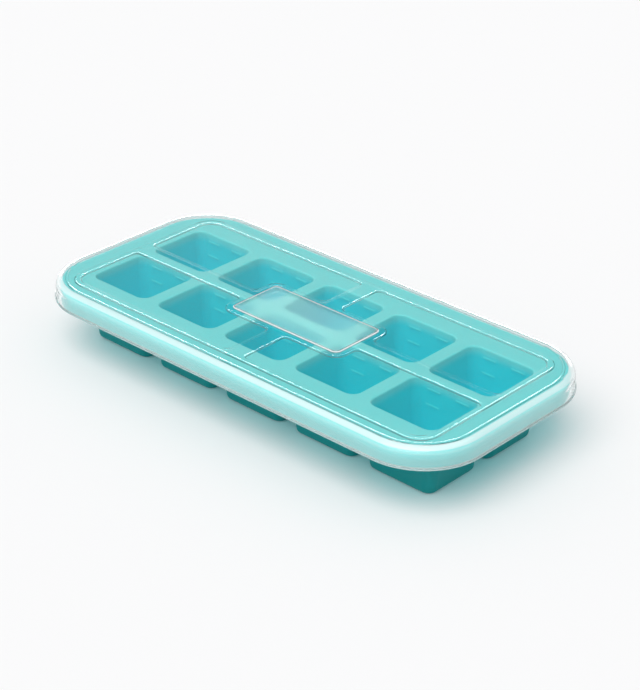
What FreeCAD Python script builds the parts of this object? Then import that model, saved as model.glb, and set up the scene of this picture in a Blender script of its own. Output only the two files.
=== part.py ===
import FreeCAD, Part

import math
import os

import Sketcher

# Baby food freezer tray: a silicone tray of drafted wells, a steel wire hoop moulded
# into its rim, and a clear lid that presses down over the rim. The silicone is one
# moulding, divided here into its deck and the cups that hang from it. Z is up, and the
# tray stands on the flat bottoms of its cups at Z = 0. Row a is the front one.

doc = FreeCAD.newDocument("freezer_tray")
sizes = doc.addObject("Spreadsheet::Sheet", "sizes")

# Driving dimensions, in millimetres and degrees
DIMENSIONS = [
    ("columns", 5, "wells along the tray"),
    ("rows", 2, "wells across the tray"),
    ("pitch_long", 45.0, "well to well, along the tray"),
    ("pitch_across", 40.2, "well to well, across the tray"),
    ("mouth_long", 37.6, "well mouth along the tray"),
    ("mouth_across", 34.2, "well mouth across the tray"),
    ("mouth_corner", 5.2, "corner radius of the mouth"),
    ("well_depth", 31.2, "deck to well floor"),
    ("well_draft", 3.5, "slope of the well walls from upright"),
    ("well_wall", 1.8, "silicone wall of a well"),
    ("floor_thickness", 1.8, "silicone floor of a well"),
    ("floor_round", 2.2, "round between a well's wall and floor"),
    ("foot_round", 2.8, "round under a well"),
    ("mouth_round", 0.9, "soft edge of the mouth"),
    ("deck_thickness", 2.6, "flat deck between the wells"),
    ("deck_side", 17.0, "outermost mouth to the tray's end"),
    ("deck_front", 21.9, "outermost mouth to the tray's long side"),
    ("tray_corner", 29.7, "corner radius of the tray"),
    ("rim_width", 7.6, "thick band round the tray's edge"),
    ("rim_height", 10.0, "height of that band"),
    ("rim_round", 1.5, "soft edges of the band"),
    ("wire_diameter", 3.0, "steel wire inside the band"),
    ("line_length", 7.2, "raised fill line"),
    ("line_width", 0.9, "height of a fill line"),
    ("line_relief", 0.4, "how far a fill line stands out"),
    ("line_offset", 8.2, "middle of the wall to the middle of a fill line"),
    ("upper_fill", 4.5, "deck to the upper fill line"),
    ("lower_fill", 12.1, "deck to the lower fill line"),
    ("lid_wall", 1.1, "clear plastic thickness"),
    ("lid_seat", 0.3, "deck to the underside of the lid"),
    ("rim_clearance", 1.3, "rim to the inside of the lid's skirt"),
    ("skirt_drop", 7.7, "deck to the skirt's lower edge"),
    ("lid_round", 4.2, "round from the lid's top to its skirt"),
    ("lip_width", 0.6, "lip round the skirt's lower edge"),
    ("lip_height", 1.2, "height of that lip"),
    ("bead_width", 6.2, "raised border round the lid's top"),
    ("bead_rise", 0.5, "border above the rest of the top"),
    ("land_end", 9.2, "border to the groove, at the ends"),
    ("land_side", 6.4, "border to the groove, along the sides"),
    ("groove_width", 1.2, "groove round the four panels"),
    ("relief_rise", 0.8, "panels above the groove and the channels"),
    ("panel_round", 8.6, "outer corner radius of a panel"),
    ("panel_corner", 3.2, "corner radius of a panel beside a channel"),
    ("channel_long", 9.0, "low strip along the lid's middle"),
    ("channel_across", 8.4, "low strip across the lid's middle"),
    ("plate_length", 68.2, "bare plate in the lid's middle"),
    ("plate_width", 31.7, "width of that plate"),
    ("plate_corner", 3.4, "corner radius of that plate"),
    ("moat_width", 2.45, "low strip round that plate"),
    ("rib_width", 0.9, "rib along the plate's edge"),
    ("rib_rise", 0.3, "rib above the plate"),
]
for row, (alias, value, meaning) in enumerate(DIMENSIONS, start=1):
    sizes.set(f"A{row}", meaning)
    sizes.set(f"B{row}", str(value))
    sizes.setAlias(f"B{row}", alias)
doc.recompute()

# Lengths that follow from the driving dimensions
DECK = "(sizes.well_depth + sizes.floor_thickness)"
FIRST_X = "(-sizes.pitch_long * (sizes.columns - 1) / 2)"
FIRST_Y = "(-sizes.pitch_across * (sizes.rows - 1) / 2)"
TRAY_LENGTH = "(sizes.pitch_long * (sizes.columns - 1) + sizes.mouth_long + 2 * sizes.deck_side)"
TRAY_WIDTH = "(sizes.pitch_across * (sizes.rows - 1) + sizes.mouth_across + 2 * sizes.deck_front)"
SKIRT_GROWTH = "(sizes.rim_clearance + sizes.lid_wall)"
LID_LENGTH = f"({TRAY_LENGTH} + 2 * {SKIRT_GROWTH})"
LID_WIDTH = f"({TRAY_WIDTH} + 2 * {SKIRT_GROWTH})"
LID_CORNER = f"(sizes.tray_corner + {SKIRT_GROWTH})"


def plane(body, role):
    """One of a body's own origin planes or axes."""
    return next(item for item in body.Origin.OriginFeatures if item.Role == role)


def new_sketch(body, name, height):
    """An empty level sketch at a height above the table."""
    sketch = body.newObject("Sketcher::SketchObject", name)
    sketch.AttachmentSupport = (plane(body, "XY_Plane"), [""])
    sketch.MapMode = "FlatFace"
    sketch.setExpression("AttachmentOffset.Base.z", height)
    return sketch


def number(expression):
    """The present value of an expression on the sheet."""
    return float(sizes.evalExpression(expression))


def add_loop(sketch, length, width, corner, x="0", y="0"):
    """A rectangle with round corners, its centres and radius tied to expressions."""
    half_x, half_y = f"({length}) / 2 - ({corner})", f"({width}) / 2 - ({corner})"
    right, left = f"({x}) + {half_x}", f"({x}) - ({half_x})"
    back, front = f"({y}) + {half_y}", f"({y}) - ({half_y})"
    radius = number(corner)
    first = sketch.GeometryCount
    centres = [(right, back), (left, back), (left, front), (right, front)]
    for turn, (cx, cy) in enumerate(centres):
        start = math.radians(90 * turn)
        centre = FreeCAD.Vector(number(cx), number(cy), 0)
        circle = Part.Circle(centre, FreeCAD.Vector(0, 0, 1), radius)
        sketch.addGeometry(Part.ArcOfCircle(circle, start, start + math.pi / 2), False)
    for turn in range(4):
        ends = sketch.getPoint(first + turn, 2), sketch.getPoint(first + (turn + 1) % 4, 1)
        sketch.addGeometry(Part.LineSegment(*ends), False)
    for turn, (cx, cy) in enumerate(centres):
        arc, line = first + turn, first + 4 + turn
        following = first + (turn + 1) % 4
        sketch.addConstraint(Sketcher.Constraint("Tangent", arc, 2, line, 1))
        sketch.addConstraint(Sketcher.Constraint("Tangent", line, 2, following, 1))
        level = "Horizontal" if turn % 2 == 0 else "Vertical"
        sketch.addConstraint(Sketcher.Constraint(level, line))
        for kind, expression in (("DistanceX", cx), ("DistanceY", cy)):
            tie = Sketcher.Constraint(kind, -1, 1, arc, 3, number(expression))
            if (kind == "DistanceX") == (turn % 2 == 0):
                sketch.setExpression(f"Constraints[{sketch.addConstraint(tie)}]", expression)
    for turn in range(1, 4):
        sketch.addConstraint(Sketcher.Constraint("Equal", first, first + turn))
    tie = sketch.addConstraint(Sketcher.Constraint("Radius", first, radius))
    sketch.setExpression(f"Constraints[{tie}]", corner)


def add_bar(sketch, x, y, length, width):
    """A plain upright rectangle, its corners tied to expressions."""
    sides = [f"({x}) - ({length}) / 2", f"({x}) + ({length}) / 2"]
    ends = [f"({y}) - ({width}) / 2", f"({y}) + ({width}) / 2"]
    places = [(sides[0], ends[0]), (sides[1], ends[0]), (sides[1], ends[1]), (sides[0], ends[1])]
    first = sketch.GeometryCount
    points = [FreeCAD.Vector(number(a), number(b), 0) for a, b in places]
    for turn in range(4):
        sketch.addGeometry(Part.LineSegment(points[turn], points[(turn + 1) % 4]), False)
    for turn, (px, py) in enumerate(places):
        side, following = first + turn, first + (turn + 1) % 4
        sketch.addConstraint(Sketcher.Constraint("Coincident", side, 2, following, 1))
        for kind, expression in (("DistanceX", px), ("DistanceY", py)):
            tie = sketch.addConstraint(
                Sketcher.Constraint(kind, -1, 1, side, 1, number(expression))
            )
            sketch.setExpression(f"Constraints[{tie}]", expression)


def pad(body, name, sketch, length, downward=False, taper=None):
    """Material raised from a sketch, or hung below it."""
    feature = body.newObject("PartDesign::Pad", name)
    feature.Profile = sketch
    feature.setExpression("Length", length)
    feature.Reversed = downward
    if taper:
        feature.setExpression("TaperAngle", taper)
    return feature


def pocket(body, name, sketch, depth, taper=None):
    """Material taken away below a sketch."""
    feature = body.newObject("PartDesign::Pocket", name)
    feature.Profile = sketch
    feature.setExpression("Length", depth)
    if taper:
        feature.setExpression("TaperAngle", taper)
    return feature


def soften(body, name, chosen, radius):
    """Round the edges of the body's last feature that a test picks."""
    doc.recompute()
    base = body.Tip
    names = [f"Edge{n}" for n, edge in enumerate(base.Shape.Edges, start=1) if chosen(edge)]
    feature = body.newObject("PartDesign::Fillet", name)
    feature.Base = (base, names)
    feature.setExpression("Radius", radius)
    doc.recompute()
    return feature


def level_edge(height, chosen=None):
    """A test for edges that lie flat at one height."""
    at = number(height)

    def test(edge):
        box = edge.BoundBox
        flat = abs(box.ZMin - at) < 0.01 and abs(box.ZMax - at) < 0.01
        return flat and (chosen is None or chosen(box))

    return test


def on_outline(box):
    """True for an edge on the tray's outer outline."""
    reach_x = max(abs(box.XMin), abs(box.XMax))
    reach_y = max(abs(box.YMin), abs(box.YMax))
    at_end = abs(reach_x - number(TRAY_LENGTH) / 2) < 0.01
    at_side = abs(reach_y - number(TRAY_WIDTH) / 2) < 0.01
    return at_end or at_side


def at_depth(size, depth):
    """The width of a drafted well at a depth below the deck."""
    return f"({size} - 2 * ({depth}) * tan(sizes.well_draft))"


def make_deck():
    """The flat top of the silicone moulding, with its thick rim and the ten well mouths."""
    body = doc.addObject("PartDesign::Body", "deck_moulding")
    outline = new_sketch(body, "deck_outline", DECK)
    add_loop(outline, TRAY_LENGTH, TRAY_WIDTH, "sizes.tray_corner")
    pad(body, "deck", outline, "sizes.deck_thickness", downward=True)

    band = new_sketch(body, "rim_outline", DECK)
    add_loop(band, TRAY_LENGTH, TRAY_WIDTH, "sizes.tray_corner")
    add_loop(
        band,
        f"{TRAY_LENGTH} - 2 * sizes.rim_width",
        f"{TRAY_WIDTH} - 2 * sizes.rim_width",
        "sizes.tray_corner - sizes.rim_width",
    )
    pad(body, "rim", band, "sizes.rim_height", downward=True)

    outline = new_sketch(body, "mouth_outline", DECK)
    add_loop(outline, "sizes.mouth_long", "sizes.mouth_across", "sizes.mouth_corner", FIRST_X, FIRST_Y)
    mouth = pocket(body, "mouth", outline, "sizes.deck_thickness", taper="-sizes.well_draft")
    doc.recompute()

    grid = body.newObject("PartDesign::MultiTransform", "mouth_grid")
    grid.Originals = [mouth]
    steps = []
    for axis, count, pitch in (("X_Axis", "columns", "pitch_long"), ("Y_Axis", "rows", "pitch_across")):
        step = body.newObject("PartDesign::LinearPattern", f"{count}_step")
        step.Direction = (plane(body, axis), [""])
        step.setExpression("Length", f"sizes.{pitch} * (sizes.{count} - 1)")
        step.setExpression("Occurrences", f"sizes.{count}")
        steps.append(step)
    grid.Transformations = steps
    body.Tip = grid
    doc.recompute()

    mouths = level_edge(DECK, lambda box: not on_outline(box))
    soften(body, "mouth_rounds", mouths, "sizes.mouth_round")
    soften(body, "rim_top_round", level_edge(DECK, on_outline), "sizes.rim_round")
    low = level_edge(f"{DECK} - sizes.rim_height", on_outline)
    soften(body, "rim_low_round", low, "sizes.rim_round")
    return body


def make_well(name, column, row):
    """One drafted cup under the deck, with its fill lines on the back wall."""
    body = doc.addObject("PartDesign::Body", name)
    top = f"({DECK} - sizes.deck_thickness)"
    inside = at_depth("sizes.mouth_long", "sizes.deck_thickness")
    across = at_depth("sizes.mouth_across", "sizes.deck_thickness")
    corner = "(sizes.mouth_corner - sizes.deck_thickness * tan(sizes.well_draft))"

    outline = new_sketch(body, f"{name}_outline", top)
    wall = "sizes.well_wall"
    add_loop(outline, f"{inside} + 2 * {wall}", f"{across} + 2 * {wall}", f"{corner} + {wall}")
    pad(body, f"{name}_cup", outline, top, downward=True, taper="-sizes.well_draft")

    mouth = new_sketch(body, f"{name}_hollow_outline", top)
    add_loop(mouth, inside, across, corner)
    depth = f"{top} - sizes.floor_thickness"
    pocket(body, f"{name}_hollow", mouth, depth, taper="-sizes.well_draft")

    # The back wall leans in with depth, so each line starts where the wall is
    reach = "(sizes.line_relief + sizes.well_wall / 2)"
    for level, depth, sides in (("upper", "sizes.upper_fill", (-1, 1)), ("lower", "sizes.lower_fill", (-1,))):
        bars = new_sketch(body, f"{name}_{level}_bars", f"{DECK} - {depth} - sizes.line_width / 2")
        back = f"{at_depth('sizes.mouth_across', depth)} / 2"
        for side in sides:
            x = f"{side} * sizes.line_offset"
            add_bar(bars, x, f"{back} - sizes.line_relief + {reach} / 2", "sizes.line_length", reach)
        pad(body, f"{name}_{level}_lines", bars, "sizes.line_width")

    soften(body, f"{name}_foot_round", level_edge("0"), "sizes.foot_round")
    soften(body, f"{name}_floor_round", level_edge("sizes.floor_thickness"), "sizes.floor_round")
    body.setExpression("Placement.Base.x", f"{FIRST_X} + {column} * sizes.pitch_long")
    body.setExpression("Placement.Base.y", f"{FIRST_Y} + {row} * sizes.pitch_across")
    return body


def make_hoop():
    """The steel wire: four straight runs and four quarter turns in the rim's middle."""
    middle = "sizes.rim_width / 2"
    turn_radius = f"(sizes.tray_corner - {middle})"
    reach_x = f"({TRAY_LENGTH} / 2 - {middle})"
    reach_y = f"({TRAY_WIDTH} / 2 - {middle})"
    straight_x = f"({reach_x} - {turn_radius})"
    straight_y = f"({reach_y} - {turn_radius})"
    height = f"{DECK} - sizes.rim_height / 2"
    pieces = []
    for turn in range(4):
        angle = 90 * turn
        along_x, along_y = round(math.cos(math.radians(angle))), round(math.sin(math.radians(angle)))
        run = doc.addObject("Part::Cylinder", f"wire_run_{turn}")
        run.setExpression("Radius", "sizes.wire_diameter / 2")
        run.setExpression("Height", f"2 * {straight_y if along_x else straight_x}")
        # A run lies square to the direction in which its side faces
        heading = FreeCAD.Vector(-along_y, along_x, 0)
        run.Placement.Rotation = FreeCAD.Rotation(FreeCAD.Vector(0, 0, 1), heading)
        start_x = f"{along_x} * {reach_x} + {along_y} * {straight_x}"
        start_y = f"{along_y} * {reach_y} - {along_x} * {straight_y}"
        bend = doc.addObject("Part::Torus", f"wire_bend_{turn}")
        bend.setExpression("Radius1", turn_radius)
        bend.setExpression("Radius2", "sizes.wire_diameter / 2")
        bend.Angle3 = 90
        bend.Placement.Rotation = FreeCAD.Rotation(angle, 0, 0)
        side_x, side_y = (1 if turn in (0, 3) else -1), (1 if turn in (0, 1) else -1)
        for piece, x, y in (
            (run, start_x, start_y),
            (bend, f"{side_x} * {straight_x}", f"{side_y} * {straight_y}"),
        ):
            piece.setExpression("Placement.Base.x", x)
            piece.setExpression("Placement.Base.y", y)
            piece.setExpression("Placement.Base.z", height)
            pieces.append(piece)
    hoop = doc.addObject("Part::MultiFuse", "rim_hoop")
    hoop.Shapes = pieces
    hoop.Refine = True
    return hoop


def make_lid_form(name, inset):
    """The lid's outer form, or the hollow under it, which is the same form inset by the wall."""
    body = doc.addObject("PartDesign::Body", name)
    low = f"({DECK} + sizes.lid_seat + sizes.lid_wall - {inset})"
    land = f"({low} + sizes.relief_rise)"
    crest = f"({land} + sizes.bead_rise)"
    # The hollow runs on below the skirt, so that it opens downwards
    foot = f"({DECK} - sizes.skirt_drop - 2 * {inset})"

    def ring(sketch, reach_end, reach_side, corner):
        add_loop(
            sketch,
            f"{LID_LENGTH} - 2 * ({reach_end})",
            f"{LID_WIDTH} - 2 * ({reach_side})",
            corner,
        )

    outline = new_sketch(body, f"{name}_outline", foot)
    ring(outline, inset, inset, f"{LID_CORNER} - {inset}")
    pad(body, f"{name}_block", outline, f"{crest} - {foot}")
    soften(body, f"{name}_round", level_edge(crest), f"sizes.lid_round - {inset}")

    border = f"sizes.bead_width - {inset}"
    inside = new_sketch(body, f"{name}_border_outline", crest)
    ring(inside, border, border, f"{LID_CORNER} - ({border})")
    pocket(body, f"{name}_land", inside, "sizes.bead_rise")

    groove = new_sketch(body, f"{name}_groove_outline", land)
    end, side = "sizes.bead_width + sizes.land_end", "sizes.bead_width + sizes.land_side"
    ring(groove, f"{end} - {inset}", f"{side} - {inset}", f"sizes.panel_round + sizes.groove_width + {inset}")
    panel = f"sizes.groove_width + {inset}"
    ring(groove, f"{end} + {panel}", f"{side} + {panel}", f"sizes.panel_round - {inset}")
    pocket(body, f"{name}_groove", groove, "sizes.relief_rise")

    half_across = f"(sizes.channel_across / 2 + {inset})"
    half_long = f"(sizes.channel_long / 2 + {inset})"
    # Each channel ends in the middle of the groove
    reach_x = f"({LID_LENGTH} - 2 * ({end}) - sizes.groove_width)"
    reach_y = f"({LID_WIDTH} - 2 * ({side}) - sizes.groove_width)"
    for way, length, width in (
        ("across", f"2 * {half_across}", reach_y),
        ("along", reach_x, f"2 * {half_long}"),
    ):
        strip = new_sketch(body, f"{name}_channel_{way}_outline", land)
        add_bar(strip, "0", "0", length, width)
        pocket(body, f"{name}_channel_{way}", strip, "sizes.relief_rise")

    moat = new_sketch(body, f"{name}_moat_outline", land)
    spread = f"(sizes.moat_width + {inset})"
    add_loop(
        moat,
        f"sizes.plate_length + 2 * {spread}",
        f"sizes.plate_width + 2 * {spread}",
        f"sizes.plate_corner + {spread}",
    )
    pocket(body, f"{name}_moat", moat, "sizes.relief_rise")

    def beside_channel(edge):
        box = edge.BoundBox
        upright = box.XLength < 0.01 and box.YLength < 0.01
        beside = (
            abs(abs(box.XMin) - number(half_across)) < 0.01
            or abs(abs(box.YMin) - number(half_long)) < 0.01
        )
        return upright and beside and box.ZMin > number(low) - 0.01

    soften(body, f"{name}_channel_corners", beside_channel, f"sizes.panel_corner - {inset}")

    plate = new_sketch(body, f"{name}_plate_outline", low)
    add_loop(
        plate,
        f"sizes.plate_length - 2 * {inset}",
        f"sizes.plate_width - 2 * {inset}",
        f"sizes.plate_corner - {inset}",
    )
    pad(body, f"{name}_plate", plate, "sizes.relief_rise")
    return body


def make_lid():
    """The clear lid: a thin shell with a raised border, four panels, a bare plate and a skirt."""
    outer = make_lid_form("lid_outside", "0")
    lip = new_sketch(outer, "lip_outline", f"{DECK} - sizes.skirt_drop")
    add_loop(
        lip,
        f"{LID_LENGTH} + 2 * sizes.lip_width",
        f"{LID_WIDTH} + 2 * sizes.lip_width",
        f"{LID_CORNER} + sizes.lip_width",
    )
    pad(outer, "lip", lip, "sizes.lip_height")

    top = f"{DECK} + sizes.lid_seat + sizes.lid_wall + sizes.relief_rise"
    rib = new_sketch(outer, "rib_outline", top)
    for inset in ("0", "sizes.rib_width"):
        add_loop(
            rib,
            f"sizes.plate_length - 2 * {inset}",
            f"sizes.plate_width - 2 * {inset}",
            f"sizes.plate_corner - {inset}",
        )
    pad(outer, "plate_rib", rib, "sizes.rib_rise")
    inner = make_lid_form("lid_hollow", "sizes.lid_wall")
    lid = doc.addObject("Part::Cut", "lid")
    lid.Base = outer
    lid.Tool = inner
    return lid


hoop = make_hoop()
deck = doc.addObject("Part::Cut", "tray_deck")
deck.Base = make_deck()
deck.Tool = hoop
nodes = {"tray_deck": deck, "rim_hoop": hoop, "clear_lid": make_lid()}
for row in range(int(number("sizes.rows"))):
    for column in range(int(number("sizes.columns"))):
        name = f"well_{'abcdefgh'[row]}{column + 1}"
        nodes[name] = make_well(name, column, row)
doc.recompute()

for item in doc.Objects:
    if "Invalid" in item.State or "Error" in item.State:
        raise SystemExit(f"{item.Label} failed: {item.State}")

os.makedirs("parts", exist_ok=True)
for node, item in nodes.items():
    item.Label = node
    shape = item.Shape
    if shape.isNull() or not shape.isValid() or len(shape.Solids) != 1:
        raise SystemExit(f"{node} isn't one valid solid")
    print(node, "volume in ml", round(shape.Volume / 1000, 2))
    shape.exportStep(f"parts/{node}.step")
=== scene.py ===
import math

import bmesh
import bpy
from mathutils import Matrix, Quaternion, Vector


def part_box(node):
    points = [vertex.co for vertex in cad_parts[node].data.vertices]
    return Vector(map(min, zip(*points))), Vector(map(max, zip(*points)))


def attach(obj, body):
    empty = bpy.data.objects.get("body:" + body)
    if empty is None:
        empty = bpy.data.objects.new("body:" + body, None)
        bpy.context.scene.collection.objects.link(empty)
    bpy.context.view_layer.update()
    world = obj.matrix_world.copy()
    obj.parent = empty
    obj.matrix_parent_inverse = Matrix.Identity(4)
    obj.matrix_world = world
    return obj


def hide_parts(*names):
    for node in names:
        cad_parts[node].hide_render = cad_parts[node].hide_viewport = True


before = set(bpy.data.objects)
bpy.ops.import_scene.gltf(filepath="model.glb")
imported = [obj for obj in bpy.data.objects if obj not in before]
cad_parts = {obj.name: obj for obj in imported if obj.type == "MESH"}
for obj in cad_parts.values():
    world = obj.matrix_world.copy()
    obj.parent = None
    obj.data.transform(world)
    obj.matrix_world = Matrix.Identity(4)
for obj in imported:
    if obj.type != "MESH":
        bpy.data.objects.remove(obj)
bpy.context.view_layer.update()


# The silicone tray
# One moulding of soft teal silicone: a flat deck with a thick rim, and ten drafted wells
# whose cups hang below it. Two raised fill lines stand on the back wall of each well.

deck_low, deck_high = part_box("tray_deck")
cup_low, cup_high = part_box("well_a1")
well_nodes = sorted(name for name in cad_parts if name.startswith("well_"))
COLUMNS = sum(name.startswith("well_a") for name in well_nodes)
ROWS = len(well_nodes) // COLUMNS
PITCH_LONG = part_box("well_a2")[0].x - cup_low.x
PITCH_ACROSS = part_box("well_b1")[0].y - cup_low.y

TRAY_LENGTH = deck_high.x - deck_low.x
TRAY_WIDTH = deck_high.y - deck_low.y
DECK_TOP = deck_high.z
RIM_BOTTOM = deck_low.z
UNDERSIDE = cup_high.z
TRAY_CORNER = 0.0297
RIM_WIDTH = 0.0076
RIM_ROUND = 0.0015
RIM_INNER_ROUND = 0.0008

WALL = 0.0018
DRAFT = math.radians(3.5)
LEAN = math.tan(DRAFT)
MOUTH_LONG = cup_high.x - cup_low.x - 2 * WALL + 2 * (DECK_TOP - UNDERSIDE) * LEAN
MOUTH_ACROSS = cup_high.y - cup_low.y - 2 * WALL + 2 * (DECK_TOP - UNDERSIDE) * LEAN
MOUTH_CORNER = 0.0052
MOUTH_ROUND = 0.0009
FLOOR = 0.0018
FLOOR_ROUND = 0.0022
FOOT_ROUND = 0.0028
ROOT_ROUND = 0.0008

LINE_REACH = (0.0046, 0.0118)
LINE_HALF_HEIGHT = 0.00045
LINE_RELIEF = 0.0004
LINE_EDGE = 0.00018
LINE_FOOT = LINE_HALF_HEIGHT + LINE_EDGE
UPPER_FILL = 0.0045
LOWER_FILL = 0.0121

OUTLINE_STEPS = 20
SMALL_ROUND_STEPS = 3
BACK_WALL = 0.999
FUSE_WITHIN = 0.00001


def round_path(length, width, corner, steps=10, stops=()):
    """A rectangle with round corners, anticlockwise: its points, and the way out from each."""
    path = []
    for quarter in range(4):
        side_x = 1 if quarter in (0, 3) else -1
        side_y = 1 if quarter in (0, 1) else -1
        centre = Vector((side_x * (length / 2 - corner), side_y * (width / 2 - corner)))
        for step in range(steps + 1):
            angle = math.radians(90) * (quarter + step / steps)
            out = Vector((math.cos(angle), math.sin(angle)))
            path.append((centre + corner * out, out))
        if quarter == 0:
            path += [(Vector((x, width / 2)), Vector((0, 1))) for x in sorted(stops, reverse=True)]
    return path


def arc(out, height, radius, start, end, steps=5):
    """Stations of a round in a section, from one angle to another."""
    angles = [math.radians(start + (end - start) * step / steps) for step in range(steps + 1)]
    return [(out + radius * math.cos(a), height + radius * math.sin(a)) for a in angles]


def ring(form, path, out, height, relief=None):
    """A loop of points set off from the path. Relief stands on the back wall alone."""
    loop = []
    for point, way in path:
        rise = relief(point.x, height) if relief and way.y > BACK_WALL else 0
        place = point + (out - rise) * way
        loop.append(form.verts.new((place.x, place.y, height)))
    return loop


def sweep(form, path, section, relief=None):
    """A skin along the path. The section's stations are distances out and heights."""
    loops = [ring(form, path, out, height, relief) for out, height in section]
    for low, high in zip(loops, loops[1:]):
        for here in range(len(path)):
            there = (here + 1) % len(path)
            form.faces.new((low[here], low[there], high[there], high[here]))
    return loops


def close_loop(form, loop):
    """The edges of a loop of points."""
    return [
        form.edges.get((here, there)) or form.edges.new((here, there))
        for here, there in zip(loop, loop[1:] + loop[:1])
    ]


def fill_line(x, height):
    """How far the back wall stands out at a place, where a raised fill line crosses it."""
    depth = DECK_TOP - height
    near = LINE_EDGE / 2
    along = LINE_REACH[0] - near < abs(x) < LINE_REACH[1] + near
    upper = abs(depth - UPPER_FILL) < LINE_HALF_HEIGHT + near
    lower = abs(depth - LOWER_FILL) < LINE_HALF_HEIGHT + near and x < 0
    return LINE_RELIEF if along and (upper or lower) else 0


def wall_out(height):
    """How far the well's inner wall lies from the mouth's outline at a height."""
    return -(DECK_TOP - height) * LEAN


# One well: the hollow from the mouth down to the floor, and the cup's outside
line_ends = [LINE_REACH[0] - LINE_EDGE, LINE_REACH[0], LINE_REACH[1], LINE_REACH[1] + LINE_EDGE]
stops = line_ends + [-x for x in line_ends]
mouth = round_path(MOUTH_LONG, MOUTH_ACROSS, MOUTH_CORNER, stops=stops)
turn = MOUTH_ROUND / math.cos(DRAFT)
mouth_out = wall_out(DECK_TOP - MOUTH_ROUND) + turn
section = arc(mouth_out, DECK_TOP - MOUTH_ROUND, MOUTH_ROUND, 90, 180 - math.degrees(DRAFT))
for fill in (UPPER_FILL, LOWER_FILL):
    for step in (-LINE_FOOT, -LINE_HALF_HEIGHT, LINE_HALF_HEIGHT, LINE_FOOT):
        height = DECK_TOP - fill - step
        section.append((wall_out(height), height))
corner_height = FLOOR + FLOOR_ROUND
corner_out = wall_out(corner_height) - FLOOR_ROUND / math.cos(DRAFT)
section += arc(corner_out, corner_height, FLOOR_ROUND, -math.degrees(DRAFT), -90)

well_form = bmesh.new()
hollow = well_form.verts.layers.float.new("hollow")
raised = well_form.verts.layers.float.new("raised")
inside = sweep(well_form, mouth, section, fill_line)
well_form.faces.new(inside[-1])
for vert in well_form.verts:
    vert[hollow] = 1
    vert[raised] = 1 if vert.co.y > 0 and fill_line(vert.co.x, vert.co.z) else 0

foot_out = WALL + wall_out(FOOT_ROUND) - FOOT_ROUND / math.cos(DRAFT)
root_height = UNDERSIDE - ROOT_ROUND
root_out = WALL + wall_out(root_height) + ROOT_ROUND / math.cos(DRAFT)
outside = arc(foot_out, FOOT_ROUND, FOOT_ROUND, -90, -math.degrees(DRAFT))
outside += arc(root_out, root_height, ROOT_ROUND, 180 - math.degrees(DRAFT), 90)
cup = sweep(well_form, mouth, outside)
well_form.faces.new(list(reversed(cup[0])))
for face in well_form.faces:
    face.smooth = True
well_mesh = bpy.data.meshes.new("one_well")
well_form.to_mesh(well_mesh)
well_form.free()
one_well = bpy.data.objects.new("one_well", well_mesh)
bpy.context.scene.collection.objects.link(one_well)

# The deck and its rim, with a hole left for each well
deck_form = bmesh.new()
outline = round_path(TRAY_LENGTH, TRAY_WIDTH, TRAY_CORNER, steps=OUTLINE_STEPS)
rim = []
for side, height, start, end in (
    (-1, UNDERSIDE - RIM_INNER_ROUND, 90, 0),
    (1, RIM_BOTTOM + RIM_INNER_ROUND, 180, 270),
):
    out = -RIM_WIDTH + side * RIM_INNER_ROUND
    rim += arc(out, height, RIM_INNER_ROUND, start, end, SMALL_ROUND_STEPS)
rim += arc(-RIM_ROUND, RIM_BOTTOM + RIM_ROUND, RIM_ROUND, -90, 0)
rim += arc(-RIM_ROUND, DECK_TOP - RIM_ROUND, RIM_ROUND, 0, 90)
rim_loops = sweep(deck_form, outline, rim)
for height, edge_loop, hole_out, facing in (
    (DECK_TOP, rim_loops[-1], mouth_out, 1),
    (UNDERSIDE, rim_loops[0], root_out, -1),
):
    edges = close_loop(deck_form, edge_loop)
    for column in range(COLUMNS):
        for row in range(ROWS):
            centre = Vector((
                (column - (COLUMNS - 1) / 2) * PITCH_LONG,
                (row - (ROWS - 1) / 2) * PITCH_ACROSS,
            ))
            hole = [(point + centre, way) for point, way in mouth]
            edges += close_loop(deck_form, ring(deck_form, hole, hole_out, height))
    filled = bmesh.ops.triangle_fill(deck_form, use_beauty=True, edges=edges, normal=(0, 0, facing))
    for face in filled["geom"]:
        if isinstance(face, bmesh.types.BMFace) and face.normal.z * facing < 0:
            face.normal_flip()
for face in deck_form.faces:
    face.smooth = True
tray_mesh = bpy.data.meshes.new("silicone_tray")
deck_form.to_mesh(tray_mesh)
deck_form.free()
tray = bpy.data.objects.new("silicone_tray", tray_mesh)
bpy.context.scene.collection.objects.link(tray)

# Silicone: soft satin teal with a fine matt skin that lets some light through. Below the deck's
# face
# its colour holds painted shade: darker on the rim, deeper and bluer inside the wells, and darkest
# on the cups' outsides under the deck.
DECK_TONES = ((0.190, 0.735, 0.735, 1), (0.215, 0.765, 0.760, 1))
# Painted shade: darker on the rim, deeper in the wells (lighter on fill lines), darkest under the
# deck
RIM_PAINTED_SHADE = (0.185, 0.560, 0.555, 1)
WELL_PAINTED_SHADE = (0.028, 0.740, 0.815, 1)
LINE_TONE = (0.075, 0.810, 0.850, 1)
UNDER_DECK_PAINTED_SHADE = (0.003, 0.250, 0.255, 1)
PAINTED_SHADE_DEPTH = (0.0004, 0.0060)
SOFT_EDGE = 0.0030
WELLS_REACH_LONG = (COLUMNS - 1) / 2 * PITCH_LONG + MOUTH_LONG / 2 + MOUTH_ROUND
WELLS_REACH_ACROSS = (ROWS - 1) / 2 * PITCH_ACROSS + MOUTH_ACROSS / 2 + MOUTH_ROUND
silicone = bpy.data.materials.new("teal silicone")
silicone.use_nodes = True
nodes, links = silicone.node_tree.nodes, silicone.node_tree.links
surface = nodes["Principled BSDF"]
place = nodes.new("ShaderNodeTexCoord")
cloud = nodes.new("ShaderNodeTexNoise")
cloud.inputs["Scale"].default_value = 38
cloud.inputs["Detail"].default_value = 3
links.new(place.outputs["Object"], cloud.inputs["Vector"])
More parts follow.
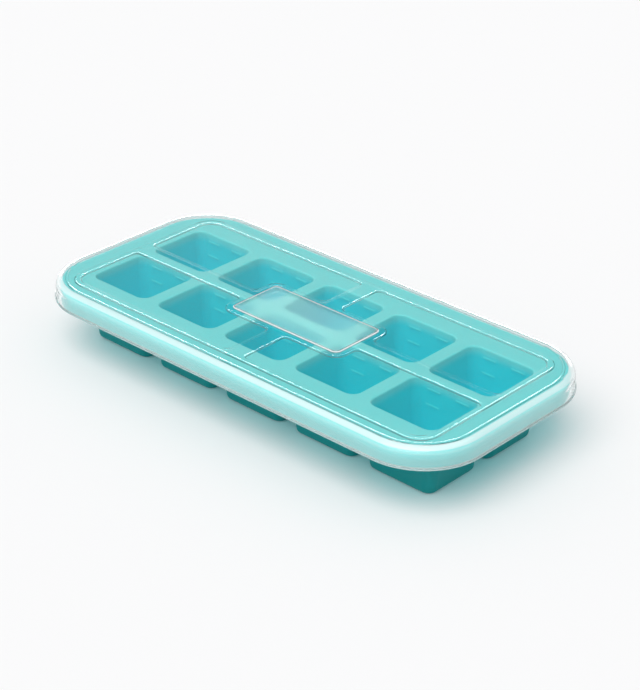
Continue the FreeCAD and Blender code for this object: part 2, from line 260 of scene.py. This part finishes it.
tone = nodes.new("ShaderNodeMix")
tone.data_type = "RGBA"
tone.inputs["A"].default_value, tone.inputs["B"].default_value = DECK_TONES
links.new(cloud.outputs["Fac"], tone.inputs["Factor"])
# Painted shade sets in below the deck's face: a darker tone on the rim, and deeper ones in and
# under the wells
apart = nodes.new("ShaderNodeSeparateXYZ")
links.new(place.outputs["Object"], apart.inputs["Vector"])


def fade(axis, start, end):
    """A soft mask that grows from nothing at one distance from the middle to full at another."""
    size = nodes.new("ShaderNodeMath")
    size.operation = "ABSOLUTE"
    links.new(apart.outputs[axis], size.inputs[0])
    ramp = nodes.new("ShaderNodeMapRange")
    ramp.interpolation_type = "SMOOTHSTEP"
    ramp.inputs["From Min"].default_value = start
    ramp.inputs["From Max"].default_value = end
    links.new(size.outputs[0], ramp.inputs["Value"])
    return ramp.outputs["Result"]


def blend(factor, under, over):
    """One tone laid over another by a mask. A tone is a colour or a socket."""
    mix = nodes.new("ShaderNodeMix")
    mix.data_type = "RGBA"
    links.new(factor, mix.inputs["Factor"])
    for side, tone in (("A", under), ("B", over)):
        if isinstance(tone, tuple):
            mix.inputs[side].default_value = tone
        else:
            links.new(tone, mix.inputs[side])
    return mix.outputs["Result"]


# Where painted shade falls: faces below the deck's face, and within them the field of the wells
low = fade("Z", DECK_TOP - PAINTED_SHADE_DEPTH[0], DECK_TOP - PAINTED_SHADE_DEPTH[1])
within = nodes.new("ShaderNodeMath")
within.operation = "MULTIPLY"
links.new(fade("X", WELLS_REACH_LONG + SOFT_EDGE, WELLS_REACH_LONG), within.inputs[0])
links.new(fade("Y", WELLS_REACH_ACROSS + SOFT_EDGE, WELLS_REACH_ACROSS), within.inputs[1])
hollows = nodes.new("ShaderNodeAttribute")
hollows.attribute_name = "hollow"
lines = nodes.new("ShaderNodeAttribute")
lines.attribute_name = "raised"
# The painted shade: deeper inside the wells, darkest outside the cups, darker on the rim
well_painted_shade = blend(hollows.outputs["Fac"], UNDER_DECK_PAINTED_SHADE, WELL_PAINTED_SHADE)
well_painted_shade = blend(lines.outputs["Fac"], well_painted_shade, LINE_TONE)
low_painted_shade = blend(within.outputs[0], RIM_PAINTED_SHADE, well_painted_shade)
links.new(blend(low, tone.outputs["Result"], low_painted_shade), surface.inputs["Base Color"])
grain = nodes.new("ShaderNodeTexNoise")
grain.inputs["Scale"].default_value = 2600
grain.inputs["Detail"].default_value = 2
links.new(place.outputs["Object"], grain.inputs["Vector"])
skin = nodes.new("ShaderNodeBump")
skin.inputs["Strength"].default_value = 0.12
skin.inputs["Distance"].default_value = 0.00005
links.new(grain.outputs["Fac"], skin.inputs["Height"])
links.new(skin.outputs["Normal"], surface.inputs["Normal"])
surface.inputs["Roughness"].default_value = 0.46
surface.inputs["IOR"].default_value = 1.41
surface.inputs["Specular IOR Level"].default_value = 0.35
surface.inputs["Subsurface Weight"].default_value = 0.6
surface.inputs["Subsurface Radius"].default_value = (0.25, 1.0, 1.0)
surface.inputs["Subsurface Scale"].default_value = 0.003


def tint_shadow(material, colour):
    """Gives what is made of a material a shadow in a colour, for the light that comes through."""
    tree = material.node_tree
    rays = tree.nodes.new("ShaderNodeLightPath")
    through = tree.nodes.new("ShaderNodeBsdfTransparent")
    through.inputs["Color"].default_value = colour
    either = tree.nodes.new("ShaderNodeMixShader")
    for start, end in (
        (rays.outputs["Is Shadow Ray"], either.inputs["Fac"]),
        (tree.nodes["Principled BSDF"].outputs["BSDF"], either.inputs[1]),
        (through.outputs["BSDF"], either.inputs[2]),
        (either.outputs["Shader"], tree.nodes["Material Output"].inputs["Surface"]),
    ):
        tree.links.new(start, end)


tint_shadow(silicone, (0.03, 0.61, 0.63, 1))

# The wells are set out along and across the tray, and fused to the deck
wells = bpy.data.node_groups.new("wells set out in rows", "GeometryNodeTree")
sockets = {}
for label, kind in (
    ("Geometry", "NodeSocketGeometry"),
    ("One Well", "NodeSocketObject"),
    ("Columns", "NodeSocketInt"),
    ("Rows", "NodeSocketInt"),
    ("Pitch Long", "NodeSocketFloat"),
    ("Pitch Across", "NodeSocketFloat"),
    ("Silicone", "NodeSocketMaterial"),
):
    sockets[label] = wells.interface.new_socket(label, in_out="INPUT", socket_type=kind).identifier
wells.interface.new_socket("Geometry", in_out="OUTPUT", socket_type="NodeSocketGeometry")
given = wells.nodes.new("NodeGroupInput")
made = wells.nodes.new("NodeGroupOutput")
grid = wells.nodes.new("GeometryNodeMeshGrid")
for count, pitch, size, number in (
    ("Columns", "Pitch Long", "Size X", "Vertices X"),
    ("Rows", "Pitch Across", "Size Y", "Vertices Y"),
):
    gaps = wells.nodes.new("ShaderNodeMath")
    gaps.operation = "SUBTRACT"
    gaps.inputs[1].default_value = 1
    reach = wells.nodes.new("ShaderNodeMath")
    reach.operation = "MULTIPLY"
    wells.links.new(given.outputs[count], gaps.inputs[0])
    wells.links.new(gaps.outputs[0], reach.inputs[0])
    wells.links.new(given.outputs[pitch], reach.inputs[1])
    wells.links.new(reach.outputs[0], grid.inputs[size])
    wells.links.new(given.outputs[count], grid.inputs[number])
source = wells.nodes.new("GeometryNodeObjectInfo")
set_out = wells.nodes.new("GeometryNodeInstanceOnPoints")
together = wells.nodes.new("GeometryNodeJoinGeometry")
real = wells.nodes.new("GeometryNodeRealizeInstances")
fused = wells.nodes.new("GeometryNodeMergeByDistance")
fused.inputs["Distance"].default_value = FUSE_WITHIN
coloured = wells.nodes.new("GeometryNodeSetMaterial")
for start, end in (
    (given.outputs["One Well"], source.inputs["Object"]),
    (grid.outputs["Mesh"], set_out.inputs["Points"]),
    (source.outputs["Geometry"], set_out.inputs["Instance"]),
    (given.outputs["Geometry"], together.inputs["Geometry"]),
    (set_out.outputs["Instances"], together.inputs["Geometry"]),
    (together.outputs["Geometry"], real.inputs["Geometry"]),
    (real.outputs["Geometry"], fused.inputs["Geometry"]),
    (fused.outputs["Geometry"], coloured.inputs["Geometry"]),
    (given.outputs["Silicone"], coloured.inputs["Material"]),
    (coloured.outputs["Geometry"], made.inputs["Geometry"]),
):
    wells.links.new(start, end)
setting_out = tray.modifiers.new("wells", "NODES")
setting_out.node_group = wells
for label, value in (
    ("One Well", one_well),
    ("Columns", COLUMNS),
    ("Rows", ROWS),
    ("Pitch Long", PITCH_LONG),
    ("Pitch Across", PITCH_ACROSS),
    ("Silicone", silicone),
):
    setting_out[sockets[label]] = value


def settle(piece):
    """The piece's modifiers become its plain mesh."""
    view_layer = bpy.context.view_layer
    view_layer.update()
    whole = piece.evaluated_get(bpy.context.evaluated_depsgraph_get())
    mesh = bpy.data.meshes.new_from_object(whole)
    piece.modifiers.clear()
    piece.data = mesh


def shade_evenly(piece):
    """Normals that favour large faces, so that flats look flat and rounds look smooth."""
    even = piece.modifiers.new("even shading", "WEIGHTED_NORMAL")
    even.mode = "FACE_AREA"
    even.weight = 60


settle(tray)
bpy.data.objects.remove(one_well)
shade_evenly(tray)
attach(tray, "tray")
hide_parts("tray_deck", *well_nodes)


# The rim wire
# A hoop of 3 mm steel wire, closed in the silicone of the rim, keeps the soft tray level
# when it is carried full. It is moulded in, so it isn't seen.

steel = bpy.data.materials.new("drawn steel wire")
steel.use_nodes = True
nodes, links = steel.node_tree.nodes, steel.node_tree.links
surface = nodes["Principled BSDF"]
surface.inputs["Base Color"].default_value = (0.62, 0.63, 0.64, 1)
surface.inputs["Metallic"].default_value = 1
place = nodes.new("ShaderNodeTexCoord")
marks = nodes.new("ShaderNodeTexNoise")
marks.inputs["Scale"].default_value = 900
links.new(place.outputs["Object"], marks.inputs["Vector"])
dull = nodes.new("ShaderNodeMapRange")
dull.inputs["To Min"].default_value = 0.28
dull.inputs["To Max"].default_value = 0.42
links.new(marks.outputs["Fac"], dull.inputs["Value"])
links.new(dull.outputs["Result"], surface.inputs["Roughness"])
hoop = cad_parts["rim_hoop"]
hoop.data.materials.clear()
hoop.data.materials.append(steel)


# The lid
# A thin shell of clear plastic, moulded in one piece: a raised border, a groove round
# four panels, low strips between them, a bare plate in the middle, and a skirt with a lip.

SAME_POINT = 0.000002
SAME_PLANE = math.radians(0.4)
STEP_ROUND = 0.00040
STEP_SHARE = 0.495
LIP_ROUND = 0.00024
LIP_TOP = 0.0265
LIP_WIDTH = 0.0006
LIP_MARGIN = 0.0002
SHARP = math.radians(40)
EASED_TURN = (math.radians(30), math.radians(60))
EASING = 0.00044
EASING_SHARE = 1.8
FLAT_BEVEL = 0.5
BROW_BEVEL = 0.45
BROW_SEGMENTS = 2
UNDER_RAMP_ANGLE = math.radians(60)
TURN_WIDTH = 0.0042
# How far a face rises, as the upward part of its normal: 1 is level and 0 upright
LEVEL_RISE = 0.99
RAMP_RISE = 0.5
BROW_RISES = (0.94, 0.998)
UNDER_RAMP_RISES = (-0.80, -0.60)
SLOPE_RISES = (0.3, 0.9)

lid_low, lid_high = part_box("clear_lid")
LID_LENGTH = lid_high.x - lid_low.x - 2 * LIP_WIDTH
LID_WIDTH = lid_high.y - lid_low.y - 2 * LIP_WIDTH
LID_CORNER = TRAY_CORNER + 0.0024


def ramp_at(edge):
    """The ramp that fits an edge: less on a low step, less still on the lip, none if blunt."""
    if edge.calc_face_angle() <= SHARP:
        return 0
    if min(vert.co.z for vert in edge.verts) < LIP_TOP + LIP_MARGIN:
        return LIP_ROUND
    rises = [STEP_ROUND / STEP_SHARE]
    for face in edge.link_faces:
        if abs(face.normal.z) < RAMP_RISE:
            heights = [vert.co.z for vert in face.verts]
            rises.append(max(heights) - min(heights))
    return STEP_SHARE * min(rises)


def easing_at(edge):
    """How far the brow of a step is eased back: nothing, for an edge that isn't a brow."""
    turned = EASED_TURN[0] < edge.calc_face_angle(0) < EASED_TURN[1]
    level = max(edge.link_faces, key=lambda face: face.normal.z)
    ramp = min(edge.link_faces, key=lambda face: face.normal.z)
    rises = level.normal.z > LEVEL_RISE and ramp.normal.z > RAMP_RISE
    if not (turned and edge.is_convex and rises):
        return 0
    heights = [vert.co.z for vert in ramp.verts]
    return min(EASING, EASING_SHARE * (max(heights) - min(heights)))


def cut_edges(piece, name, share, width, segments, profile):
    """Bevels the edges of a piece, each by its own share of one width."""
    form = bmesh.new()
    form.from_mesh(piece.data)
    form.normal_update()
    weight = form.edges.layers.float.get("bevel_weight_edge")
    weight = weight or form.edges.layers.float.new("bevel_weight_edge")
    for edge in form.edges:
        edge[weight] = share(edge) / width if len(edge.link_faces) == 2 else 0
    form.to_mesh(piece.data)
    form.free()
    cut = piece.modifiers.new(name, "BEVEL")
    cut.width = width
    cut.segments = segments
    cut.profile = profile
    cut.limit_method = "WEIGHT"
    cut.use_clamp_overlap = False
    cut.miter_outer = "MITER_SHARP"
    settle(piece)


def steepen(piece):
    """Stands the ramps of the underside up steeper, so that light passes beside them."""
    drawn_in = math.tan(math.pi / 2 - UNDER_RAMP_ANGLE) - 1
    form = bmesh.new()
    form.from_mesh(piece.data)
    form.normal_update()
    moves = {}
    for face in form.faces:
        if not UNDER_RAMP_RISES[0] < face.normal.z < UNDER_RAMP_RISES[1]:
            continue
        middle = face.calc_center_median()
        way = Vector((face.normal.x, face.normal.y, 0)).normalized()
        for vert in face.verts:
            shift = way * (vert.co - middle).dot(way) * drawn_in
            moves.setdefault(vert, []).append(shift)
    for vert, shifts in moves.items():
        vert.co += sum(shifts, Vector()) / len(shifts)
    form.to_mesh(piece.data)
    form.free()


lid_form = bmesh.new()
lid_form.from_mesh(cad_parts["clear_lid"].data)
bmesh.ops.remove_doubles(lid_form, verts=lid_form.verts, dist=SAME_POINT)
bmesh.ops.dissolve_limit(
    lid_form, angle_limit=SAME_PLANE, verts=lid_form.verts, edges=lid_form.edges
)
for face in lid_form.faces:
    face.smooth = True
lid_mesh = bpy.data.meshes.new("lid_shell")
lid_form.to_mesh(lid_mesh)
lid_form.free()
lid = bpy.data.objects.new("lid_shell", lid_mesh)
bpy.context.scene.collection.objects.link(lid)
cut_edges(lid, "moulded ramps", ramp_at, STEP_ROUND, 1, FLAT_BEVEL)
steepen(lid)
cut_edges(lid, "eased brows", easing_at, EASING, BROW_SEGMENTS, BROW_BEVEL)
# The brows are crisp facets, so that each gives one clean line of light
for face in lid.data.polygons:
    if BROW_RISES[0] < face.normal.z < BROW_RISES[1] and face.center.z > LIP_TOP:
        face.use_smooth = False
shade_evenly(lid)
settle(lid)


def inward(x, y):
    """How far a place lies inside the lid's outline."""
    half = LID_LENGTH / 2 - LID_CORNER, LID_WIDTH / 2 - LID_CORNER
    beyond = Vector((abs(x) - half[0], abs(y) - half[1]))
    if max(beyond) < 0:
        return LID_CORNER - max(beyond)
    return LID_CORNER - Vector((max(beyond.x, 0), max(beyond.y, 0))).length


# The ramps are too narrow to be seen as slopes, so they are shaded like the flats they join
ways = [corner.vector.copy() for corner in lid.data.corner_normals]
for face in lid.data.polygons:
    slopes = SLOPE_RISES[0] < abs(face.normal.z) < SLOPE_RISES[1]
    if slopes and inward(face.center.x, face.center.y) > TURN_WIDTH:
        for loop in face.loop_indices:
            ways[loop] = Vector((0, 0, math.copysign(1, face.normal.z)))
lid.data.normals_split_custom_set(ways)

# Clear plastic
clear = bpy.data.materials.new("clear plastic")
clear.use_nodes = True
surface = clear.node_tree.nodes["Principled BSDF"]
surface.inputs["Base Color"].default_value = (0.985, 0.995, 0.995, 1)
surface.inputs["Roughness"].default_value = 0.02
surface.inputs["IOR"].default_value = 1.49
surface.inputs["Transmission Weight"].default_value = 1
tint_shadow(clear, (0.93, 0.96, 0.96, 1))
lid.data.materials.clear()
lid.data.materials.append(clear)

# The plate has a finely frosted face. Painted highlights lie near white on its raised edge, as a
# bright band where the plastic turns down over the rim, and fainter lower on that turn and on the
# lip. The skirt has a painted haze of reflection.
PLATE_REACH = (0.0341, 0.01585)
PLATE_RIB = 0.0014
PLATE_TOP = 0.0352
NEAR = 0.0001
SKIRT_RISE = -0.25
TURN_RISES = (0.25, 0.60)
# A near white for the painted highlights and the painted haze of reflection
PAINTED_LIGHT_WHITE = (0.93, 0.98, 0.98, 1)
CLEAR, FROSTED, PAINTED_RIB_HIGHLIGHT, PAINTED_TURN_HIGHLIGHT, PAINTED_FAINT_HIGHLIGHT, PAINTED_REFLECTION_HAZE = range(6)
# Each finish or painted light: its name, colour, roughness and clearness
FINISHES_AND_PAINTED_LIGHT = (
    ("frosted plastic", (0.62, 0.93, 0.90, 1), 0.30, 1.0),
    ("cloudy plastic", (0.97, 0.99, 0.99, 1), 0.25, 0.18),
    ("milky plastic", PAINTED_LIGHT_WHITE, 0.12, 0.46),
    ("faintly milky plastic", PAINTED_LIGHT_WHITE, 0.08, 0.80),
    # A pale veil of painted reflection on the skirt
    ("hazy plastic", PAINTED_LIGHT_WHITE, 0.06, 0.94),
)
for name, colour, roughness, clearness in FINISHES_AND_PAINTED_LIGHT:
    finish_or_painted_light = clear.copy()
    finish_or_painted_light.name = name
    surface = finish_or_painted_light.node_tree.nodes["Principled BSDF"]
    surface.inputs["Base Color"].default_value = colour
    surface.inputs["Roughness"].default_value = roughness
    surface.inputs["Transmission Weight"].default_value = clearness
    lid.data.materials.append(finish_or_painted_light)


def finish_or_painted_light_of(face, spots):
    """The finish or painted light of a face of the lid, from where it is and how far it rises."""
    rise = face.normal.z
    height = face.center.z
    reach = max(max(abs(spot.x) - PLATE_REACH[0], abs(spot.y) - PLATE_REACH[1]) for spot in spots)
    if reach < 0 and abs(height - PLATE_TOP) < NEAR and rise > SLOPE_RISES[1]:
        return FROSTED
    # A painted highlight on the plate's raised edge
    if reach < PLATE_RIB and height > PLATE_TOP - NEAR and rise > RAMP_RISE:
        return PAINTED_RIB_HIGHLIGHT
    # A faint painted highlight on the lip
    if height <= LIP_TOP:
        return PAINTED_FAINT_HIGHLIGHT
    on_skirt = inward(face.center.x, face.center.y) <= TURN_WIDTH
    if not (on_skirt and SKIRT_RISE < rise < LEVEL_RISE):
        return CLEAR
    # On the turn over the rim: a painted highlight higher up, a fainter one lower, then painted
    # haze
    if rise > TURN_RISES[1]:
        return PAINTED_TURN_HIGHLIGHT
    return PAINTED_FAINT_HIGHLIGHT if rise > TURN_RISES[0] else PAINTED_REFLECTION_HAZE


corners = lid.data.vertices
for face in lid.data.polygons:
    face.material_index = finish_or_painted_light_of(face, [corners[index].co for index in face.vertices])
# Light that leaves the tray passes the thin lid unbent, so that it is counted only once
lid.visible_diffuse = False
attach(lid, "lid")
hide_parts("clear_lid")


# The studio
# A wide pale floor in a white studio: even light from all round, and one broad soft lamp
# high in front. Glossy edges see the studio's walls, ceiling and windows.

FLOOR_REACH = 8.0
KEY_FROM = Vector((0.1, -0.6, 1.0))
KEY_STRENGTH = 1.9
KEY_SPREAD = math.radians(60)
EVEN_LIGHT = 0.58
WHITE = 0.94
UNDER_LID = 0.20
# Faces of the lid that light has passed: one or more inside it, four to the tray and back
INSIDE_LID = 1
TRAY_AND_BACK = 4
# What outer gloss reflects, by the sine of the height that it looks to: (height, brightness)
STUDIO_WALLS = (
    (0.00, 0.94),
    (0.28, 0.70),
    (0.42, 0.40),
    (0.49, 0.10),
    (0.72, 0.15),
    (0.84, 2.20),
    (1.00, 2.20),
)
# A row of bright low windows stands at the back left: how high, how wide (as a cosine)
WINDOWS_TO = Vector((-0.67, 0.74, 0.0))
WINDOWS_BRIGHT = 15.0
WINDOWS_HEIGHT = ((0.00, 0.0), (0.03, 1.0), (0.22, 1.0), (0.27, 0.0))
WINDOWS_WIDTH = (0.86, 0.93)
# What light led about inside the lid comes out to see: white, but for the flat faces' share
LED_WALLS = (
    (0.00, 0.94),
    (0.36, 0.94),
    (0.42, 0.15),
    (0.53, 0.15),
    (0.60, 0.94),
    (1.00, 0.94),
)

floor_form = bmesh.new()
bmesh.ops.create_grid(floor_form, x_segments=1, y_segments=1, size=FLOOR_REACH)
floor_mesh = bpy.data.meshes.new("floor")
floor_form.to_mesh(floor_mesh)
floor_form.free()
floor = bpy.data.objects.new("floor", floor_mesh)
bpy.context.scene.collection.objects.link(floor)
paper = bpy.data.materials.new("white paper")
paper.use_nodes = True
surface = paper.node_tree.nodes["Principled BSDF"]
surface.inputs["Base Color"].default_value = (0.88, 0.88, 0.885, 1)
surface.inputs["Roughness"].default_value = 0.9
surface.inputs["Specular IOR Level"].default_value = 0
floor.data.materials.append(paper)

key = bpy.data.lights.new("key", "SUN")
key.energy = KEY_STRENGTH
key.angle = KEY_SPREAD
lamp = bpy.data.objects.new("key", key)
lamp.rotation_mode = "QUATERNION"
lamp.rotation_quaternion = KEY_FROM.to_track_quat("Z", "Y")
lamp.visible_transmission = False
bpy.context.scene.collection.objects.link(lamp)

world = bpy.data.worlds.new("white studio")
world.use_nodes = True
nodes, links = world.node_tree.nodes, world.node_tree.links
rays = nodes.new("ShaderNodeLightPath")
seen = nodes.new("ShaderNodeMath")
seen.operation = "MAXIMUM"
links.new(rays.outputs["Is Camera Ray"], seen.inputs[0])
links.new(rays.outputs["Is Transmission Ray"], seen.inputs[1])
plain = nodes.new("ShaderNodeMapRange")
plain.inputs["To Min"].default_value = EVEN_LIGHT
plain.inputs["To Max"].default_value = WHITE
links.new(seen.outputs[0], plain.inputs["Value"])
place = nodes.new("ShaderNodeTexCoord")
apart = nodes.new("ShaderNodeSeparateXYZ")
links.new(place.outputs["Generated"], apart.inputs["Vector"])


def by_height(stops):
    """A brightness that goes by the sine of the height looked to."""
    ramp = nodes.new("ShaderNodeValToRGB")
    for _ in range(len(stops) - 2):
        ramp.color_ramp.elements.new(0.5)
    for stop, (height, bright) in zip(ramp.color_ramp.elements, stops):
        stop.position = height
        stop.color = (bright, bright, bright, 1)
    links.new(apart.outputs["Z"], ramp.inputs["Fac"])
    return ramp.outputs["Color"]


def switch(faces, before, after):
    """One brightness for gloss until it has passed so many faces of the lid, another after."""
    passed = nodes.new("ShaderNodeMath")
    passed.operation = "GREATER_THAN"
    passed.inputs[1].default_value = faces - 0.5
    links.new(rays.outputs["Transmission Depth"], passed.inputs[0])
    mix = nodes.new("ShaderNodeMix")
    links.new(passed.outputs[0], mix.inputs["Factor"])
    links.new(before, mix.inputs["A"])
    if isinstance(after, float):
        mix.inputs["B"].default_value = after
    else:
        links.new(after, mix.inputs["B"])
    return mix.outputs["Result"]


# The windows fill a band low down, to both sides of the way that leads to their middle
facing = nodes.new("ShaderNodeVectorMath")
facing.operation = "DOT_PRODUCT"
facing.inputs[1].default_value = WINDOWS_TO.normalized()
links.new(place.outputs["Generated"], facing.inputs[0])
beside = nodes.new("ShaderNodeMapRange")
beside.inputs["From Min"].default_value, beside.inputs["From Max"].default_value = WINDOWS_WIDTH
links.new(facing.outputs["Value"], beside.inputs["Value"])
windows = nodes.new("ShaderNodeMath")
windows.operation = "MULTIPLY"
links.new(by_height(WINDOWS_HEIGHT), windows.inputs[0])
links.new(beside.outputs["Result"], windows.inputs[1])
lit = nodes.new("ShaderNodeMix")
links.new(windows.outputs[0], lit.inputs["Factor"])
links.new(by_height(STUDIO_WALLS), lit.inputs["A"])
lit.inputs["B"].default_value = WINDOWS_BRIGHT
outer = switch(INSIDE_LID, lit.outputs["Result"], by_height(LED_WALLS))
# The tray's own sheen, seen through the lid, is faint
inner = switch(TRAY_AND_BACK, outer, UNDER_LID)
strength = nodes.new("ShaderNodeMix")
links.new(rays.outputs["Is Glossy Ray"], strength.inputs["Factor"])
links.new(plain.outputs["Result"], strength.inputs["A"])
links.new(inner, strength.inputs["B"])
links.new(strength.outputs["Result"], nodes["Background"].inputs["Strength"])
nodes["Background"].inputs["Color"].default_value = (1, 1, 1, 1)
bpy.context.scene.world = world
bpy.context.scene.view_settings.view_transform = "Standard"

# The photograph's view: a long lens, looking down on the tray's front right corner
VIEW_AZIMUTH = math.radians(42.248)
VIEW_ELEVATION = math.radians(28.2865)
VIEW_ROLL = math.radians(0.706)
VIEW_DISTANCE = 0.90273
LENS = 101.98
AIM = Vector((0.0203, -0.01178, DECK_TOP))

back = Vector((
    math.sin(VIEW_AZIMUTH) * math.cos(VIEW_ELEVATION),
    -math.cos(VIEW_AZIMUTH) * math.cos(VIEW_ELEVATION),
    math.sin(VIEW_ELEVATION),
))
lens = bpy.data.cameras.new("camera")
lens.lens = LENS
camera = bpy.data.objects.new("camera", lens)
camera.rotation_mode = "QUATERNION"
camera.location = AIM + VIEW_DISTANCE * back
camera.rotation_quaternion = (-back).to_track_quat("-Z", "Y") @ Quaternion((0, 0, 1), VIEW_ROLL)
bpy.context.scene.collection.objects.link(camera)
bpy.context.scene.camera = camera
